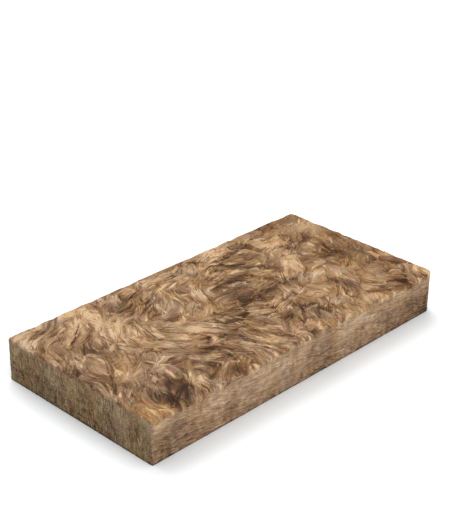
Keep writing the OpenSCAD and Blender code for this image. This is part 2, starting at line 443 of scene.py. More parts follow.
class UpperFace:
    """Heights, lay, relief and lightness of the upper face, worked out once on grids."""

    # Spacing of the grids of heights and lay, and of those of relief and lightness.
    step = 6 * MM
    fine_step = 2.2 * MM
    # How far inside the saw cuts heights are read, and how low the face is where none is found.
    margin = 0.5 * MM
    missed_drop = 8 * MM
    # How far each direction of COMB reaches, how the borders between them wander, and how the
    # lay strays, in radians. Noise is given as its spread, size and seeds.
    comb_reach = 20 * MM
    border_sway = ((9 * MM, 55 * MM, 8),)
    lay_stray = ((0.22, 90 * MM, 5), (0.15, 45 * MM, 6), (0.05, 26 * MM, 7))
    # Sizes of the grain, and for how many steps each one is drawn out both ways.
    grains = ((4 * MM, 11), (7 * MM, 10), (14 * MM, 12), (30 * MM, 13))
    stride = 2.2 * MM
    # Shares of the lightness: the spread of the patches, each size of grain, wisps, and the painted
    # shade in the creases.
    patch_spread = 0.140
    grain_shares = (0.015, 0.058, 0.086, 0.072)
    wisp_share = 0.45
    painted_crease_shade = 0.13
    # Beds of flakes: how many, between which shares of the half length, widths, and how many
    # times longer.
    beds = ((265, -1.0, 0.45, (14 * MM, 30 * MM), (2.2, 6.5)),
            (125, 0.10, 1.0, (22 * MM, 40 * MM), (1.0, 2.0)),
            (55, 0.15, 1.0, (12 * MM, 22 * MM), (2.2, 4.5)))
    flake_turn = 0.16
    flake_bend = 6.0
    flake_reach = 130 * MM
    seam_sway = ((1.8 * MM, 36 * MM, 16), (0.3 * MM, 12 * MM, 18))
    # Heights of the fine, small and middle grain, of creases, seams, flakes and nodules, and of
    # the whole fleece, with its limits, in millimetres.
    grain_heights = (0.3, 0.5, 0.9)
    crease_depth = 1.2
    seam_depth = 1.4
    flake_lift = 0.6
    nodule_height = 3.2
    fleece_lift = 0.4
    relief_limits = (-4.5, 3.4)
    # How far in from the saw cuts the relief fades out, and to what share.
    fade_reach = 18 * MM
    fade_share = 0.1

    def __init__(self):
        self.heights = self.read_heights()
        self.lay_grid = self.comb()
        self.flakes = self.sow_flakes()
        places = self.nodes_of_grid(self.fine_step)
        self.gap_grid, self.lift_grid, *_, cos, sin = self.flake_at(places)[2:]
        self.flake_lay = np.stack([cos * cos - sin * sin, 2 * sin * cos], -1)
        self.grain = self.drawn_out(places, 3)
        self.tint = self.drawn_out(places, 4)
        self.tone_grid = self.lighten(places)

    def nodes_of_grid(self, step):
        """Places of a grid's nodes, evenly spread from saw cut to saw cut."""
        counts = np.ceil(2 * HALF / step).astype(int) + 1
        axes = [np.linspace(-half, half, n) for half, n in zip(HALF, counts)]
        return np.stack(np.meshgrid(*axes, indexing="ij"), -1)

    def read(self, grid, points):
        """A grid's values at points of the face."""
        return read_grid(grid, (points + HALF) / (2 * HALF) * (np.array(grid.shape[:2]) - 1))

    def read_heights(self):
        """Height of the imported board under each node."""
        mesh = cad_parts[BOARD].data
        tree = BVHTree.FromPolygons([v.co for v in mesh.vertices],
                                    [tuple(p.vertices) for p in mesh.polygons])
        places = self.nodes_of_grid(self.step) * (1 - self.margin / HALF)
        heights = np.full(places.shape[:2], THICKNESS - self.missed_drop)
        for at in np.ndindex(heights.shape):
            hit = tree.ray_cast(Vector((*places[at], 2 * THICKNESS)), Vector((0, 0, -1)))[0]
            if hit is not None:
                heights[at] = hit.z
        return heights

    def comb(self):
        """Twice the angle of the lay, as a cosine and a sine.

        The face is a patchwork of clumps, each combed its own way."""
        comb = np.array(COMB, float)
        places = self.nodes_of_grid(self.step)
        strayed = swayed(places, self.border_sway)
        away = ((strayed[..., None, :] - comb[:, :2] * MM) ** 2).sum(-1)
        weight = np.exp((away.min(-1, keepdims=True) - away) / (2 * self.comb_reach ** 2))
        double = np.radians(comb[:, 2]) * 2
        cos, sin = (weight * np.cos(double)).sum(-1), (weight * np.sin(double)).sum(-1)
        angle = np.arctan2(sin, cos) + 2 * noises(places, self.lay_stray)
        return np.stack([np.cos(angle), np.sin(angle)], -1)

    def sow_flakes(self):
        """The flakes that the face is felted from: where each one is, which way it lies, its half
        length, its half width, how it bends, and how high, light and warm it is."""
        rng = np.random.default_rng(15)
        flakes = []
        for count, first, last, widths, slender in self.beds:
            start = rng.uniform((first * HALF_LENGTH, -HALF_WIDTH),
                                (last * HALF_LENGTH, HALF_WIDTH), (count, 2))
            lay = turned(self.lay(start), rng.normal(0, self.flake_turn, count))
            half_width = rng.uniform(*widths, count) / 2
            drawn = rng.normal(0, 1, (4, count))
            flakes += list(np.column_stack([start, lay, half_width * rng.uniform(*slender, count),
                                            half_width, self.flake_bend * drawn[0], *drawn[1:]]))
        return flakes

    def flake_at(self, points):
        """The flake at each point: the place along and across it, the distance to its seam, its
        lift, lightness and warmth with a spread of 1, and its direction there."""
        flat = points.reshape(-1, 2)
        moved = swayed(flat, self.seam_sway)
        order = np.argsort(moved[:, 0])
        sorted_x = moved[order, 0]
        best, second = np.full((2, len(flat)), 99.0)
        found = np.zeros((len(flat), 8))
        for x, y, cos, sin, long, wide, bend, *drawn in self.flakes:
            first, last = np.searchsorted(sorted_x, (x - self.flake_reach, x + self.flake_reach))
            near = order[first:last]
            near = near[np.abs(moved[near, 1] - y) < self.flake_reach]
            off = moved[near] - (x, y)
            along = off @ (cos, sin)
            across = off @ (-sin, cos) - bend * along ** 2
            away = np.hypot(along / long, across / wide)
            nearer = away < best[near]
            second[near] = np.where(nearer, best[near], np.minimum(second[near], away))
            best[near] = np.minimum(best[near], away)
            here, along, across = near[nearer], along[nearer], across[nearer]
            straight, shared = (np.broadcast_to(values, (len(here), len(values)))
                                for values in ([cos, sin], [wide, *drawn]))
            heading = turned(straight, np.arctan(2 * bend * along))
            found[here] = np.column_stack([along, across, shared, heading])
        found[:, 2] *= (second - best) / 2
        return np.moveaxis(found.reshape(*points.shape[:-1], 8), -1, 0)

    def height(self, points):
        """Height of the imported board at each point."""
        return self.read(self.heights, points)

    def lay(self, points, grid=None):
        """Direction of the fibres at each point, as a unit vector."""
        grid = self.lay_grid if grid is None else grid
        angle = np.arctan2(self.read(grid[..., 1], points), self.read(grid[..., 0], points)) / 2
        return np.stack([np.cos(angle), np.sin(angle)], -1)

    def drawn_out(self, places, seed):
        """Random grain of each size, drawn out along the lay, with a spread of 1."""
        rng = np.random.default_rng(seed)
        fields = [rng.normal(size=np.ceil(2 * HALF / size).astype(int) + 3)
                  for size, _ in self.grains]
        totals = [0.0] * len(fields)
        for way in (-1, 1):
            here = places.copy()
            heading = self.lay(here, self.flake_lay) * way
            for step in range(max(steps for _, steps in self.grains)):
                for k, (size, steps) in enumerate(self.grains):
                    if step < steps:
                        totals[k] = totals[k] + read_grid(fields[k], (here + HALF) / size + 0.5)
                along = self.lay(here, self.flake_lay)
                heading = along * np.sign((along * heading).sum(-1) + TINY)[..., None]
                here = here + heading * self.stride
        return [(t - t.mean()) / t.std() for t in totals]

    def lighten(self, places):
        """How light the wool is: patches, grain drawn out along the lay, pale wisps, and painted
        shade in the creases. 0 is the mean.
        """
        tone = patchwork(places, PATCHES)
        tone *= self.patch_spread / tone.std()
        lively = self.liveliness(places) - 0.4 * self.puffed(places)
        for share, grain in zip(self.grain_shares, self.tint):
            tone += share * grain * lively
        # The creases are darkened as painted shade.
        return (tone + self.wisp_share * self.wisps(places)
                - self.painted_crease_shade * self.folds(places)[1])

    def tone(self, points):
        """How much lighter than usual the wool is at each point."""
        return self.read(self.tone_grid, points)

    def liveliness(self, points):
        """How strongly the wool's lightness varies, 1 being usual."""
        return 1 - patchwork(points, CALM)

    def puffed(self, points):
        """How far the wool lies in round nodules, from 0 to 1: it does so towards the far end."""
        return step_up(points[..., 0], 20 * MM, 260 * MM)

    def folds(self, points):
        """The fleece's folds: their height, and how deep a point lies in a crease, from 0 to 1."""
        grains = [self.read(grid, points) for grid in self.grain[:len(self.grain_heights)]]
        gap, lift = self.read(self.gap_grid, points), self.read(self.lift_grid, points)
        lively, puffed = self.liveliness(points), self.puffed(points)
        crease = np.maximum(step_up(-grains[1], 0.9, 1.9), 0.8 * step_up(-grains[0], 1.1, 2.2))
        seam = (1 - step_up(gap, 0.5 * MM, 6 * MM)) * lively
        nodule = puffed * np.minimum(lively, 1) * (np.sqrt(np.clip(gap / (10 * MM), 0, 1)) - 0.6)
        height = sum(high * grain for high, grain in zip(self.grain_heights, grains))
        height *= 1 - 0.5 * puffed
        height += self.fleece_lift + self.flake_lift * lively * lift + self.nodule_height * nodule
        height -= self.crease_depth * crease + self.seam_depth * seam
        faded = np.clip(inside_by(points) / self.fade_reach, self.fade_share, 1)
        height = np.clip(height, *self.relief_limits) * faded * MM
        return height, crease * (1 - 0.4 * puffed) * np.minimum(lively, 1)

    def wisps(self, points):
        """Where thin pale wisps lie, from 0 to 1."""
        return step_up(self.read(self.tint[0], points), 1.1, 2.3)


@functools.cache
def upper_face():
    """The one upper face, which all the pieces share."""
    return UpperFace()


def outline_table():
    """Points round the saw cuts, counter-clockwise: distance round, x, y and outward normal."""
    rows = []
    for quarter, (side_x, side_y) in enumerate(((-1, -1), (1, -1), (1, 1), (-1, 1))):
        radius = NEAR_RADIUS if side_x < 0 else FAR_RADIUS
        middle = np.array([side_x, side_y]) * (HALF - radius)
        for angle in np.radians(np.linspace(180 + 90 * quarter, 270 + 90 * quarter, 9)):
            out = np.array([math.cos(angle), math.sin(angle)])
            rows.append([*(middle + radius * out), *out])
    rows.append(rows[0])
    rows = np.array(rows)
    round_by = np.append(0, np.cumsum(np.linalg.norm(np.diff(rows[:, :2], axis=0), axis=1)))
    return np.column_stack([round_by, rows])


OUTLINE = outline_table()
PERIMETER = OUTLINE[-1, 0]


def read_outline(round_by):
    """Point and outward normal of the saw cuts, at a distance round the board."""
    at = np.mod(round_by, PERIMETER)
    values = [np.interp(at, OUTLINE[:, 0], OUTLINE[:, k]) for k in range(1, 5)]
    return np.stack(values[:2], -1), np.stack(values[2:], -1)


def perimeter_place(points):
    """Distance round the board of the point of its saw cuts nearest to each point."""
    flat = points.reshape(-1, 2)
    radius = corner_radius(flat)
    corner = np.sign(flat) * (HALF - radius[:, None])
    off = (flat - corner) * np.sign(flat)
    in_corner = (off > 0).all(-1)
    gap = HALF - np.abs(flat)
    nearer_end = gap[:, 0] < gap[:, 1]
    onto = np.where(nearer_end[:, None], np.stack([np.sign(flat[:, 0]) * HALF[0], flat[:, 1]], -1),
                    np.stack([flat[:, 0], np.sign(flat[:, 1]) * HALF[1]], -1))
    reach = np.maximum(np.linalg.norm(off, axis=-1), TINY)
    arc = corner + off * np.sign(flat) * (radius / reach)[:, None]
    onto = np.where(in_corner[:, None], arc, onto)
    best, place = np.full(len(flat), np.inf), np.zeros(len(flat))
    for (at, *start), stop in zip(OUTLINE[:-1, :3], OUTLINE[1:, 1:3]):
        side = stop - start
        share = np.clip(((onto - start) @ side) / (side @ side), 0, 1)
        away = np.linalg.norm(onto - start - share[:, None] * side, axis=-1)
        place = np.where(away < best, at + share * np.linalg.norm(side), place)
        best = np.minimum(best, away)
    return place.reshape(points.shape[:-1])


def kept_by(flat, margin):
    """Points drawn in from the saw cuts, so that they are at least this far inside."""
    round_by = perimeter_place(flat)
    short = np.clip(margin - inside_by(flat), 0, None)
    return flat - read_outline(round_by)[1] * short[:, None]


def warmth(flat):
    """How golden the wool is, over and above the usual."""
    return noises(flat, ((0.035, 110 * MM, 61), (0.025, 35 * MM, 62)))


def face_warmth(flat):
    """The same for the upper face, which is a little more golden towards the far end."""
    return warmth(flat) + 0.03 * flat[..., 0] / HALF_LENGTH + patchwork(flat, GOLDEN)


# --- locks of wool -----------------------------------------------------------------------------


# Width of a lock at its tips, as a share of its own, and how much its route jitters at each step.
LOCK_TIP = 0.04
ROUTE_JITTER = 0.03


def mesh_from(name, bm):
    """A mesh from a bmesh, which is freed."""
    mesh = bpy.data.meshes.new(name)
    bm.to_mesh(mesh)
    bm.free()
    return mesh


def add_object(name, data):
    """An object in the scene, at the origin."""
    made = bpy.data.objects.new(name, data)
    bpy.context.scene.collection.objects.link(made)
    return made


def prototype_lock(name, stations, sides):
    """One straight closed lock, 1 long and 2 wide, from a capped tube cut into stations."""
    bm = bmesh.new()
    bmesh.ops.create_cone(bm, segments=sides, radius1=1, radius2=1, depth=1, cap_ends=True,
                          cap_tris=True)
    quarter_turn = Matrix.Rotation(math.pi / 2, 3, "Y")
    bmesh.ops.rotate(bm, verts=bm.verts, cent=(0, 0, 0), matrix=quarter_turn)
    bmesh.ops.translate(bm, verts=bm.verts, vec=(0.5, 0, 0))
    lengthwise = [e for e in bm.edges if abs(e.verts[0].co.x - e.verts[1].co.x) > 0.5]
    bmesh.ops.subdivide_edges(bm, edges=lengthwise, cuts=stations - 1)
    bmesh.ops.recalc_face_normals(bm, faces=bm.faces)
    return mesh_from(name, bm)


def row_of_locks(name, count, stations, sides):
    """A piece of count straight locks, by an Array modifier, and one lock's own points."""
    mesh = prototype_lock(name, stations, sides)
    one = np.array([v.co for v in mesh.vertices])
    piece = add_object(name, mesh)
    array = piece.modifiers.new("Repeat", "ARRAY")
    array.count = count
    array.use_relative_offset = False
    array.use_constant_offset = True
    array.constant_offset_displace = (2, 0, 0)
    with bpy.context.temp_override(object=piece, active_object=piece, selected_objects=[piece]):
        bpy.ops.object.modifier_apply(modifier=array.name)
    return piece, one


def combed_routes(start, length, steps, curl, rng, lay, stray):
    """Routes that follow the lay both ways from their starts, each with its curl and stray."""
    stride = (length / steps)[:, None]
    halves = []
    for way in (-1, 1):
        place = start.copy()
        heading = lay(place) * way
        bend = np.zeros(len(start)) + stray
        stops = []
        for _ in range(steps // 2):
            along = lay(place)
            along = along * np.sign((along * turned(heading, -bend)).sum(-1) + TINY)[:, None]
            bend = bend + way * curl / steps + rng.normal(0, ROUTE_JITTER, len(start))
            heading = turned(along, bend)
            place = place + heading * stride
            stops.append(place)
        halves.append(stops)
    return np.stack(halves[0][::-1] + [start] + halves[1], 1)


def kept_stretch(clear):
    """First and last station of each route before it leaves the surface, from its middle."""
    steps = clear.shape[1] - 1
    ends = np.tile([0.0, steps], (len(clear), 1))
    for row, end in zip(clear, ends):
        for side, way in enumerate((-1, 1)):
            k = steps // 2
            while 0 <= k + way <= steps and row[k + way] > 0:
                k += way
            if 0 <= k + way <= steps:
                here = max(row[k], 0)
                end[side] = k + way * here / (here - row[k + way] + TINY)
    return ends.T


def lay_locks(piece, one, routes, width, height, lift, drape, tone, rng, clear, warm=warmth,
              sink=2.5 * MM):
    """Bends a row of straight locks along their routes and drapes them over a surface.

    drape puts places and levels in space, clear says how far a place is from where locks end,
    tone and warm give the lightness and the warmth of a place, and sink is how deep the
    underside of a lock lies."""
    count, steps = len(routes), routes.shape[1] - 1
    first, last = kept_stretch(clear(routes))
    # More of the points round a lock go to its upper side than to its underside.
    angle = np.degrees(np.arctan2(one[:, 2], one[:, 1])) % 360
    angle = np.radians(np.interp(angle, [0, 215, 360], [0, 180, 360]))
    rim = np.hypot(one[:, 1], one[:, 2])
    across, up = np.cos(angle) * rim, np.sin(angle) * rim
    station = first[:, None] + (last - first)[:, None] * one[:, 0]
    share = np.clip(station / steps, 0, 1)
    centre = read_rows(routes, station)
    tangent = (read_rows(routes, np.minimum(station + 0.5, steps))
               - read_rows(routes, np.maximum(station - 0.5, 0)))
    tangent /= np.maximum(np.linalg.norm(tangent, axis=-1, keepdims=True), TINY)
    sideways = np.stack([-tangent[..., 1], tangent[..., 0]], -1)
    skew = rng.uniform(0.7, 1.4, (count, 1))
    swell = np.maximum(np.sin(math.pi * share ** skew), 0) ** rng.uniform(0.7, 1.2, (count, 1))
    taper = LOCK_TIP + (1 - LOCK_TIP) * swell
    wave = rng.uniform(0, 2 * math.pi, (count, 1))
    half = width[:, None] / 2 * taper * (1 + 0.16 * np.sin(5 * math.pi * share + wave))
    flat = centre + sideways * (across * half)[..., None]
    twist = rng.uniform(-1.3, 1.3, (count, 1))
    strand = np.sin(math.pi * across + 2 * math.pi * twist * share + wave)
    dome = np.where(up > 0, np.maximum(up, 0) ** 0.8 * (1 + 0.30 * strand), 0)
    dive = (lift[:, None] + height[:, None]) * (taper - 1) * 0.8
    crest = height[:, None] * taper * dome + dive
    level = lift[:, None] + crest + np.minimum(up, 0) * sink
    mesh = piece.data
    mesh.vertices.foreach_set("co", drape(flat, level).reshape(-1).astype(np.float32))
    route_length = np.linalg.norm(np.diff(routes, axis=1), axis=-1).sum(1)[:, None]
    lay = np.stack([share * route_length + rng.uniform(0, 9, (count, 1)), across * half,
                    np.broadcast_to(rng.uniform(0, 9, (count, 1)), share.shape)], -1)
    # edge runs from 0 at a lock's rims, which the material darkens as painted shade, to 1 along its
    # middle.
    edge = np.broadcast_to(np.clip(1 - np.abs(across), 0, 1), share.shape)
    store(mesh, lay=lay, tone=tone(flat), edge=edge, warm=warm(flat))
    mesh.shade_smooth()
    mesh.update()


def store(mesh, **fields):
    """Stores numbers and vectors on a mesh's vertices, under their names."""
    for name, values in fields.items():
        vector = values.size == 3 * len(mesh.vertices)
        attribute = mesh.attributes.new(name, "FLOAT_VECTOR" if vector else "FLOAT", "POINT")
        attribute.data.foreach_set("vector" if vector else "value",
                                   values.reshape(-1).astype(np.float32))


def finish_piece(piece, material):
    """Gives a piece its material, hangs it on the root body, and hides the imported board."""
    piece.data.materials.clear()
    piece.data.materials.append(material)
    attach(piece, "root")
    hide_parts(BOARD)


# --- materials ---------------------------------------------------------------------------------

# How far the hue wanders, how far under the usual hue it starts, and how far olive wool turns it.
HUE_SPREAD = 0.085
HUE_START = 0.0445
OLIVE_TURN = 0.02
# How closely the specks of felted wool lie, and the patches of its hue.
SPECK_SCALE = 230.0
HUE_SCALE = 50.0


def new_material(name):
    """A material with nothing but its Principled shader, and the shader."""
    material = bpy.data.materials.new(name)
    material.use_nodes = True
    nodes = material.node_tree.nodes
    nodes.clear()
    shader = nodes.new("ShaderNodeBsdfPrincipled")
    output = nodes.new("ShaderNodeOutputMaterial")
    material.node_tree.links.new(shader.outputs["BSDF"], output.inputs["Surface"])
    return material, shader


def node(material, kind, inputs=(), **settings):
    """A node with its settings, and its inputs set to values or linked to sockets."""
    made = material.node_tree.nodes.new(kind)
    for key, value in settings.items():
        setattr(made, key, value)
    for key, value in dict(inputs).items():
        if isinstance(value, bpy.types.NodeSocket):
            material.node_tree.links.new(value, made.inputs[key])
        else:
            made.inputs[key].default_value = value
    return made


def maths(material, operation, first, second, third=0.0):
    """The result of a Math node."""
    return node(material, "ShaderNodeMath", {0: first, 1: second, 2: third},
                operation=operation).outputs[0]


def stored(material, name):
    """What the mesh stores under this name, as a node's sockets."""
    return node(material, "ShaderNodeAttribute", attribute_name=name).outputs


def noise(material, place, scale, detail=2.0, roughness=0.5):
    """Noise from 0 to 1."""
    return node(material, "ShaderNodeTexNoise", {
        "Vector": place, "Scale": scale, "Detail": detail, "Roughness": roughness}).outputs["Fac"]


def streaks(material, lay, scale):
    """Noise stretched along the fibres, from 0 to 1."""
    mapping = node(material, "ShaderNodeMapping", {"Vector": lay, "Scale": (*scale, 1)})
    return noise(material, mapping.outputs["Vector"], 1.0, detail=3.0, roughness=0.6)


def wool_ramp(material, factor, colours):
    """Colour of the wool for a lightness from 0 to 1."""
    ramp = node(material, "ShaderNodeValToRGB", {"Fac": factor})
    stops = [(0.0, colours.crease), (0.25, colours.umber), (0.5, colours.tan),
             (0.75, colours.gold), (1.0, colours.crest)]
    elements = ramp.color_ramp.elements
    while len(elements) < len(stops):
        elements.new(0.5)
    for element, (place, colour) in zip(elements, stops):
        element.position = place
        element.color = (*colour, 1.0)
    return ramp.outputs["Color"]


def wool(name, colours, fine, broad, contrast, painted_rim_shade, bump_height, saturation=1.0, speck=0.0,
         hue=0.5):
    """Wool whose fibres run along each lock, by what the mesh stores: the lay, tone, edge, warmth
    and olive tinge.

    fine and broad are how close the two sizes of streak lie, along and across the fibres,
    contrast is how strongly each of them shows, painted_rim_shade is how dark the painted shade
    at the rims of locks is, with a slight painted light along their middles, and speck is how
    strongly the wool is speckled."""
    material, shader = new_material(name)
    lay = stored(material, "lay")["Vector"]
    tone = stored(material, "tone")["Fac"]
    edge = stored(material, "edge")["Fac"]
    fine = streaks(material, lay, fine)
    broad = streaks(material, lay, broad)
    light = maths(material, "MULTIPLY_ADD", broad, contrast[1], tone)
    light = maths(material, "MULTIPLY_ADD", fine, contrast[0], light)
    light = maths(material, "SUBTRACT", light, 0.5 * (contrast[0] + contrast[1]))
    # Painted shade at the rims of locks, where they dive under their neighbours, and a slight
    # painted light along their middles.
    rim = node(material, "ShaderNodeMapRange", {
        "Value": edge, "From Max": 0.5, "To Min": -painted_rim_shade, "To Max": 0.15 * painted_rim_shade},
        interpolation_type="SMOOTHSTEP").outputs["Result"]
    light = maths(material, "ADD", light, rim)
    place = node(material, "ShaderNodeTexCoord").outputs["Object"]
    if speck:
        grain = noise(material, place, SPECK_SCALE)
        light = maths(material, "MULTIPLY_ADD", grain, speck, light)
        light = maths(material, "SUBTRACT", light, 0.5 * speck)
    colour = wool_ramp(material, light, colours)
    warm = maths(material, "ADD", stored(material, "warm")["Fac"], saturation)
    shift = maths(material, "MULTIPLY_ADD", noise(material, place, HUE_SCALE), HUE_SPREAD,
                  hue - HUE_START)
    shift = maths(material, "MULTIPLY_ADD", stored(material, "olive")["Fac"], OLIVE_TURN, shift)
    colour = node(material, "ShaderNodeHueSaturation", {
        "Color": colour, "Saturation": warm, "Hue": shift}).outputs["Color"]
    fibre = maths(material, "MULTIPLY_ADD", broad, 0.6, fine)
    bump = node(material, "ShaderNodeBump", {
        "Height": fibre, "Strength": 0.7, "Distance": bump_height})
    material.node_tree.links.new(colour, shader.inputs["Base Color"])
    material.node_tree.links.new(bump.outputs["Normal"], shader.inputs["Normal"])
    shader.inputs["Roughness"].default_value = 0.92
    shader.inputs["Specular IOR Level"].default_value = 0.2
    return material


@functools.cache
def face_wool(colours):
    """Wool of the upper face, which its pieces share."""
    return wool("combed_wool", colours, fine=(14, 600), broad=(6, 180), contrast=(0.38, 0.78),
                painted_rim_shade=0.25, bump_height=1.3 * MM, hue=0.4985)


def skin_wool(colours):
    """Wool of the closed skin."""
    return wool("felted_wool", colours, fine=(30, 450), broad=(15, 130), contrast=(0.42, 0.68),
                painted_rim_shade=0.0, bump_height=1.0 * MM, saturation=0.92, speck=0.60)


def side_wool(colours):
    """Wool of the strands of the long sides."""
    return wool("side_wool", colours, fine=(40, 420), broad=(20, 130), contrast=(0.55, 0.6),
                painted_rim_shade=0.03, bump_height=0.8 * MM, saturation=0.87, speck=0.42)


def end_wool(colours):
    """Wool of the strands of the ends, the most speckled of all."""
    return wool("end_wool", colours, fine=(120, 250), broad=(26, 100), contrast=(1.2, 1.0),
                painted_rim_shade=0.06, bump_height=0.8 * MM, saturation=0.86, speck=1.8, hue=0.520)


# --- operators ---------------------------------------------------------------------------------


def grid_piece(name, counts):
    """A flat closed grid: its points can be told apart by their place, from -1 to 1."""
    bm = bmesh.new()
    bmesh.ops.create_grid(bm, x_segments=counts[0], y_segments=counts[1], size=1)
    rim = [e for e in bm.edges if e.is_boundary]
    made = bmesh.ops.extrude_edge_only(bm, edges=rim)["geom"]
    low = [v for v in made if isinstance(v, bmesh.types.BMVert)]
    bmesh.ops.translate(bm, verts=low, vec=(0, 0, -1))
    bmesh.ops.holes_fill(bm, edges=[e for e in bm.edges if e.is_boundary], sides=0)
    bmesh.ops.recalc_face_normals(bm, faces=bm.faces)
    # The rim's faces come in any order, so all faces are put in the order of their places.
    row_by_row = Vector((1, 1000, 0))
    bm.faces.sort(key=lambda face: face.calc_center_median().dot(row_by_row))
    return new_piece(name, bm)


def box_piece(name, counts):
    """A box from -1 to 1 along each axis, with its faces cut into even squares."""
    bm = bmesh.new()
    bmesh.ops.create_cube(bm, size=2)
    for axis, count in enumerate(counts):
        along = [e for e in bm.edges
                 if abs(e.verts[0].co[axis] - e.verts[1].co[axis]) > 1.5]
        bmesh.ops.subdivide_edges(bm, edges=along, cuts=count - 1, use_grid_fill=True)
    bmesh.ops.recalc_face_normals(bm, faces=bm.faces)
    return new_piece(name, bm)


def new_piece(name, bm):
    """An object from a bmesh, and the places of its points."""
    piece = add_object(name, mesh_from(name, bm))
    place = np.empty(len(piece.data.vertices) * 3, np.float32)
    piece.data.vertices.foreach_get("co", place)
    return piece, place.reshape(-1, 3).astype(float)


def put_points(piece, place):
    """Moves a piece's points to their places, and makes it smooth."""
    piece.data.vertices.foreach_set("co", place.reshape(-1).astype(np.float32))
    piece.data.shade_smooth()
    piece.data.update()


class WOOL_OT_skin(bpy.types.Operator):
    """Add the closed skin of the board: its saw cuts and its underside"""

    bl_idname = "wool.skin"
    bl_label = "Skin"

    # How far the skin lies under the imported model's upper face, so that the wool covers it: along
    # the top edge of the saw cuts, and elsewhere. And how far it lies behind the saw cuts.
    rim_drop = 2.0 * MM
    face_drop = 5.0 * MM
    inset = 0.9 * MM
    # The saw cuts have no bumps below this, so that the board stands on a clean edge.
    plain_foot = 3 * MM

    def execute(self, context):
        spacing = context.scene.wool_lay.skin_spacing
        size = (2 * HALF_LENGTH, 2 * HALF_WIDTH, THICKNESS)
        piece, unit = box_piece("board_skin", [round(side / spacing) for side in size])
        face = upper_face()
        flat = folded(unit[:, :2] * HALF)[0]
        on_cut = np.abs(unit[:, :2]).max(-1) > 0.999
        round_by = perimeter_place(flat)
        out = read_outline(round_by)[1]
        on_side = np.abs(out[:, 1]) > SIDEWAYS
        top = face.height(flat) - np.where(on_cut, self.rim_drop, self.face_drop)
        z = (unit[:, 2] + 1) / 2 * top
        cut_place = np.stack([round_by, z], -1)
        bumps = 0.35 * MM * smooth_noise(cut_place, 22 * MM, 21)
        inset = np.where(on_cut, self.inset - np.where(z > self.plain_foot, bumps, 0), 0)
        flat = flat - out * inset[:, None]
        put_points(piece, np.column_stack([flat, z]))

        nought = np.zeros_like(z)
        leaning = z + SIDE_LEAN * round_by + 3.5 * MM * smooth_noise(cut_place, 80 * MM, 25)
        cut_lay = np.where(on_side[:, None], np.stack([round_by, leaning, nought], -1),
                           np.stack([z, round_by, nought], -1))
        lay = np.where(on_cut[:, None], cut_lay, np.column_stack([flat, nought]))
        tone = UNDERSIDE_TONE + noises(flat, ((0.05, 60 * MM, 22), (0.03, 18 * MM, 23)))
        tone = np.where(on_cut, cut_tone(face, round_by, z), tone)
        warm = 0.04 * smooth_noise(flat, 90 * MM, 24)
        olive = 0.33 + 0.35 * smooth_noise(cut_place, 90 * MM, 26)
        olive = np.where(on_cut & ~on_side, olive * step_up(top - z, 5 * MM, 35 * MM), 0)
        store(piece.data, lay=lay, tone=tone, edge=np.ones_like(z), warm=warm, olive=olive)
        finish_piece(piece, skin_wool(context.scene.wool_colour))
        return {"FINISHED"}


class WOOL_OT_fleece(bpy.types.Operator):
    """Add the fleece of the upper face, felted from flakes and folded down over the saw cuts"""

    bl_idname = "wool.fleece"
    bl_label = "Fleece"

    thickness = 4 * MM
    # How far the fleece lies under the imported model's upper face, and inside its edge.
    face_drop = 0.8 * MM
    edge_gap = 0.3 * MM
    # The hem over the ends and over the long sides, as a share of its setting, and how uneven.
    hem_shares = np.array([0.75, 1.0])
    hem_unevenness = np.array([0.42, 0.35])
    # Width of the rim that is drawn out into the hem, how far past the edge the fleece is wholly
    # folded over, and how far the hem's edge is tucked in.
    drawn_rim = 45 * MM
    fold_reach = 3 * MM
    tuck = 2.0 * MM

    def execute(self, context):
        settings = context.scene.wool_lay
        counts = [round(2 * half / settings.fleece_spacing) for half in HALF]
        piece, unit = grid_piece("fleece", counts)
        face = upper_face()
        spread = unit[:, :2] * HALF
        uneven = np.clip(smooth_noise(spread, 45 * MM, 65), -1.5, 1.8)[:, None]
        hem = settings.hem * (self.hem_shares + self.hem_unevenness * uneven)
        drawn = np.clip(1 - (HALF - np.abs(spread)) / self.drawn_rim, 0, 1)
        flat, over = folded(spread + np.sign(spread) * drawn * hem)
        below = unit[:, 2] < -0.5
        round_by = perimeter_place(flat)
        out = read_outline(round_by)[1]
        on_side = np.abs(out[:, 1]) > SIDEWAYS
        share = np.clip(over / np.where(on_side, hem[:, 1], hem[:, 0]), 0, 1)
        fold = np.clip(over / self.fold_reach, 0, 1)
        along, across, gap, lift, lighter, warmer = face.flake_at(flat + out * over[:, None])[:6]

        relief = face.folds(flat)[0] * (1 - fold) * settings.relief
        z = face.height(flat) - self.face_drop + relief - over - self.thickness * below
        bulge = np.clip(gap / (5 * MM), 0, 1) - 0.5
        aside = (0.1 + 0.5 * bulge) * MM * fold - self.tuck * share ** 4
        upper = kept_by(flat, np.where(over > 0, 0, self.edge_gap))
        upper = upper + out * np.where(over > 0, aside, 0)[:, None]
        lower = flat - out * self.thickness
        put_points(piece, np.column_stack([np.where(below[:, None], lower, upper), z]))

        lively = face.liveliness(flat)
        varied = (0.07 + 0.05 * face.puffed(flat)) * lively * lighter
        felted = 0.13 * np.clip(1 - lively, 0, 1) * smooth_noise(flat, 10 * MM, 66)
        tone = FLEECE_TONE + 0.11 * fold + face.tone(flat) + varied + felted
        tone = tone + (cut_tone(face, round_by, z) - tone) * step_up(share, 0.3, 1.0)
        # rim drives painted shade in the seams between flakes, with less of it on the hem and in
        # calm wool.
        rim = np.clip(gap / (4 * MM) + 0.10 + 0.15 * smooth_noise(flat, 50 * MM, 64), 0, 1)
        rim = rim + (1 - rim) * np.maximum(0.6 * fold, 1.2 * (1 - lively))
        store(piece.data, lay=np.stack([along, across, 3 * lift], -1), tone=tone, edge=rim,
              warm=face_warmth(flat) + 0.025 * warmer - 0.02 * fold)
        finish_piece(piece, face_wool(context.scene.wool_colour))
        return {"FINISHED"}


# Usual width of a rope's strands, in millimetres.
STRAND_WIDTH = 4.5


